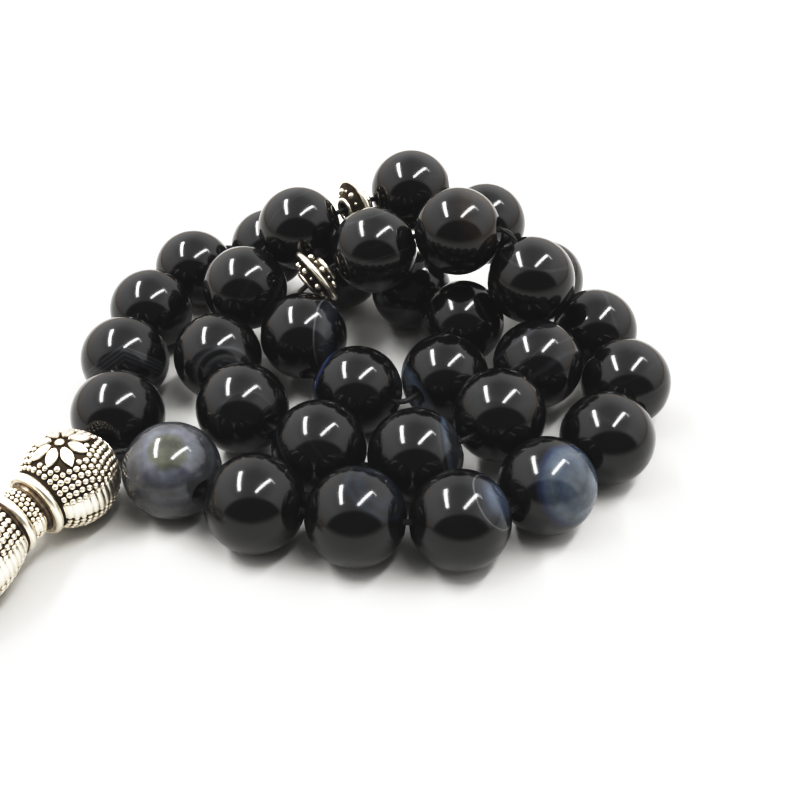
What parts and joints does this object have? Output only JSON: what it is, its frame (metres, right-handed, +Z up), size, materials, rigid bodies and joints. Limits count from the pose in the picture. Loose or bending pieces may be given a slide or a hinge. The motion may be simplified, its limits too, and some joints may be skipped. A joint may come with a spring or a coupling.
{
  "type": "misbaha prayer beads",
  "caption": "Strand of round polished agate prayer beads on one cord, parted by silver spacer discs and closed by a silver imam, lying coiled in a low pile.",
  "frame": {"origin": "on the resting surface, under the middle of the object's box", "axes": "+Z up, +X to the right along the object's longest side, +Y to the back, away from the side with the long front row of beads; the imam's tail points to -X and -Y"},
  "size_m": [0.097, 0.085, 0.0261],
  "materials": {
    "agate": "polished black agate with grey and blue-grey bands",
    "antique_silver": "silver-plated casting, darkened in the recesses and polished on the high spots",
    "cord": "thin twisted black cord"
  },
  "bodies": {
    "cord": {"cord": "cord", "cord_knot": "cord"},
    "imam": {"imam_head": "antique_silver", "imam_neck": "antique_silver", "imam_barrel": "antique_silver", "imam_tail_cap": "antique_silver"},
    "bead_01": {"bead_01": "agate"},
    "bead_02": {"bead_02": "agate"},
    "bead_03": {"bead_03": "agate"},
    "bead_04": {"bead_04": "agate"},
    "bead_05": {"bead_05": "agate"},
    "bead_06": {"bead_06": "agate"},
    "bead_07": {"bead_07": "agate"},
    "bead_08": {"bead_08": "agate"},
    "bead_09": {"bead_09": "agate"},
    "bead_10": {"bead_10": "agate"},
    "bead_11": {"bead_11": "agate"},
    "spacer_disc_1": {"spacer_disc_1": "antique_silver"},
    "bead_12": {"bead_12": "agate"},
    "bead_13": {"bead_13": "agate"},
    "bead_14": {"bead_14": "agate"},
    "bead_15": {"bead_15": "agate"},
    "bead_16": {"bead_16": "agate"},
    "bead_17": {"bead_17": "agate"},
    "bead_18": {"bead_18": "agate"},
    "bead_19": {"bead_19": "agate"},
    "bead_20": {"bead_20": "agate"},
    "bead_21": {"bead_21": "agate"},
    "bead_22": {"bead_22": "agate"},
    "spacer_disc_2": {"spacer_disc_2": "antique_silver"},
    "bead_23": {"bead_23": "agate"},
    "bead_24": {"bead_24": "agate"},
    "bead_25": {"bead_25": "agate"},
    "bead_26": {"bead_26": "agate"},
    "bead_27": {"bead_27": "agate"},
    "bead_28": {"bead_28": "agate"},
    "bead_29": {"bead_29": "agate"},
    "bead_30": {"bead_30": "agate"},
    "bead_31": {"bead_31": "agate"},
    "bead_32": {"bead_32": "agate"},
    "bead_33": {"bead_33": "agate"}
  },
  "joints": [
    {"name": "imam_turn", "type": "hinge", "parent": "cord", "child": "imam", "pos_m": [-0.02788, -0.0135, 0.00605], "axis": [-0.5592, -0.829, 0], "range_deg": [-90, 90]},
    {"name": "bead_01_spin", "type": "hinge", "parent": "cord", "child": "bead_01", "pos_m": [-0.01569, -0.01209, 0.006], "axis": [0.7529, -0.6581, 0.0051], "continuous": true},
    {"name": "bead_02_spin", "type": "hinge", "parent": "cord", "child": "bead_02", "pos_m": [-0.00498, -0.01777, 0.006], "axis": [0.9767, -0.2143, -0.0064], "continuous": true},
    {"name": "bead_03_spin", "type": "hinge", "parent": "cord", "child": "bead_03", "pos_m": [0.00695, -0.0199, 0.006], "axis": [0.9856, -0.1691, 0.0077], "continuous": true},
    {"name": "bead_04_spin", "type": "hinge", "parent": "cord", "child": "bead_04", "pos_m": [0.01906, -0.02045, 0.006], "axis": [0.9895, 0.1439, -0.0124], "continuous": true},
    {"name": "bead_05_spin", "type": "hinge", "parent": "cord", "child": "bead_05", "pos_m": [0.02977, -0.01477, 0.006], "axis": [0.7468, 0.6649, 0.0134], "continuous": true},
    {"name": "bead_06_spin", "type": "hinge", "parent": "cord", "child": "bead_06", "pos_m": [0.0383, -0.00617, 0.006], "axis": [0.6469, 0.7623, -0.0209], "continuous": true},
    {"name": "bead_07_spin", "type": "hinge", "parent": "cord", "child": "bead_07", "pos_m": [0.04254, 0.00519, 0.006], "axis": [-0.0012, 0.9995, 0.0317], "continuous": true},
    {"name": "bead_08_spin", "type": "hinge", "parent": "cord", "child": "bead_08", "pos_m": [0.04011, 0.01706, 0.00601], "axis": [-0.369, 0.9283, -0.0459], "continuous": true},
    {"name": "bead_09_spin", "type": "hinge", "parent": "cord", "child": "bead_09", "pos_m": [0.03354, 0.02704, 0.00807], "axis": [-0.7211, 0.4659, 0.5127], "continuous": true},
    {"name": "bead_10_spin", "type": "hinge", "parent": "cord", "child": "bead_10", "pos_m": [0.0248, 0.03192, 0.0149], "axis": [-0.7126, 0.3963, 0.5789], "continuous": true},
    {"name": "bead_11_spin", "type": "hinge", "parent": "cord", "child": "bead_11", "pos_m": [0.01377, 0.03529, 0.01861], "axis": [-0.9908, -0.0203, -0.1336], "continuous": true},
    {"name": "spacer_disc_1_spin", "type": "hinge", "parent": "cord", "child": "spacer_disc_1", "pos_m": [0.00546, 0.03219, 0.01765], "axis": [-0.8271, -0.56, -0.049], "continuous": true},
    {"name": "bead_12_spin", "type": "hinge", "parent": "cord", "child": "bead_12", "pos_m": [-0.00264, 0.02886, 0.01597], "axis": [-0.9015, -0.3518, -0.2522], "continuous": true},
    {"name": "bead_13_spin", "type": "hinge", "parent": "cord", "child": "bead_13", "pos_m": [-0.01013, 0.02082, 0.01085], "axis": [-0.3736, -0.7892, -0.4874], "continuous": true},
    {"name": "bead_14_spin", "type": "hinge", "parent": "cord", "child": "bead_14", "pos_m": [-0.01295, 0.0097, 0.00694], "axis": [-0.0245, -0.9961, -0.0851], "continuous": true},
    {"name": "bead_15_spin", "type": "hinge", "parent": "cord", "child": "bead_15", "pos_m": [-0.00824, -0.00147, 0.00698], "axis": [0.6978, -0.7128, 0.0706], "continuous": true},
    {"name": "bead_16_spin", "type": "hinge", "parent": "cord", "child": "bead_16", "pos_m": [0.002, -0.00787, 0.00602], "axis": [0.9224, -0.3213, -0.2142], "continuous": true},
    {"name": "bead_17_spin", "type": "hinge", "parent": "cord", "child": "bead_17", "pos_m": [0.01402, -0.00942, 0.006], "axis": [0.9535, 0.121, 0.2759], "continuous": true},
    {"name": "bead_18_spin", "type": "hinge", "parent": "cord", "child": "bead_18", "pos_m": [0.02466, -0.00397, 0.00802], "axis": [0.6382, 0.7689, -0.0385], "continuous": true},
    {"name": "bead_19_spin", "type": "hinge", "parent": "cord", "child": "bead_19", "pos_m": [0.03064, 0.00658, 0.00803], "axis": [0.3327, 0.9385, 0.0925], "continuous": true},
    {"name": "bead_20_spin", "type": "hinge", "parent": "cord", "child": "bead_20", "pos_m": [0.03015, 0.01645, 0.01504], "axis": [-0.405, 0.393, 0.8255], "continuous": true},
    {"name": "bead_21_spin", "type": "hinge", "parent": "cord", "child": "bead_21", "pos_m": [0.02009, 0.02094, 0.0201], "axis": [-0.9537, 0.2304, -0.1933], "continuous": true},
    {"name": "bead_22_spin", "type": "hinge", "parent": "cord", "child": "bead_22", "pos_m": [0.00852, 0.02174, 0.01659], "axis": [-0.9391, -0.1325, -0.317], "continuous": true},
    {"name": "spacer_disc_2_spin", "type": "hinge", "parent": "cord", "child": "spacer_disc_2", "pos_m": [0.00038, 0.0195, 0.01371], "axis": [-0.7585, -0.4504, -0.4709], "continuous": true},
    {"name": "bead_23_spin", "type": "hinge", "parent": "cord", "child": "bead_23", "pos_m": [-0.00125, 0.01248, 0.00844], "axis": [0.2022, -0.8563, -0.4752], "continuous": true},
    {"name": "bead_24_spin", "type": "hinge", "parent": "cord", "child": "bead_24", "pos_m": [0.00641, 0.00342, 0.006], "axis": [0.8887, -0.456, 0.0474], "continuous": true},
    {"name": "bead_25_spin", "type": "hinge", "parent": "cord", "child": "bead_25", "pos_m": [0.01821, 0.0062, 0.00601], "axis": [0.7008, 0.7133, -0.0103], "continuous": true},
    {"name": "bead_26_spin", "type": "hinge", "parent": "cord", "child": "bead_26", "pos_m": [0.02105, 0.01794, 0.00694], "axis": [-0.2677, 0.956, 0.1198], "continuous": true},
    {"name": "bead_27_spin", "type": "hinge", "parent": "cord", "child": "bead_27", "pos_m": [0.01385, 0.02765, 0.00601], "axis": [-0.7924, 0.5631, -0.2346], "continuous": true},
    {"name": "bead_28_spin", "type": "hinge", "parent": "cord", "child": "bead_28", "pos_m": [0.00318, 0.03341, 0.00603], "axis": [-0.8967, 0.3254, 0.2999], "continuous": true},
    {"name": "bead_29_spin", "type": "hinge", "parent": "cord", "child": "bead_29", "pos_m": [-0.00835, 0.03653, 0.00802], "axis": [-0.9825, 0.1718, -0.0714], "continuous": true},
    {"name": "bead_30_spin", "type": "hinge", "parent": "cord", "child": "bead_30", "pos_m": [-0.01992, 0.03354, 0.006], "axis": [-0.601, -0.7765, -0.1895], "continuous": true},
    {"name": "bead_31_spin", "type": "hinge", "parent": "cord", "child": "bead_31", "pos_m": [-0.02458, 0.02235, 0.006], "axis": [-0.2796, -0.9575, 0.0704], "continuous": true},
    {"name": "bead_32_spin", "type": "hinge", "parent": "cord", "child": "bead_32", "pos_m": [-0.02602, 0.01032, 0.006], "axis": [0.1888, -0.9808, -0.0493], "continuous": true},
    {"name": "bead_33_spin", "type": "hinge", "parent": "cord", "child": "bead_33", "pos_m": [-0.02449, -0.00171, 0.006], "axis": [-0.0436, -0.9988, 0.0219], "continuous": true}
  ]
}
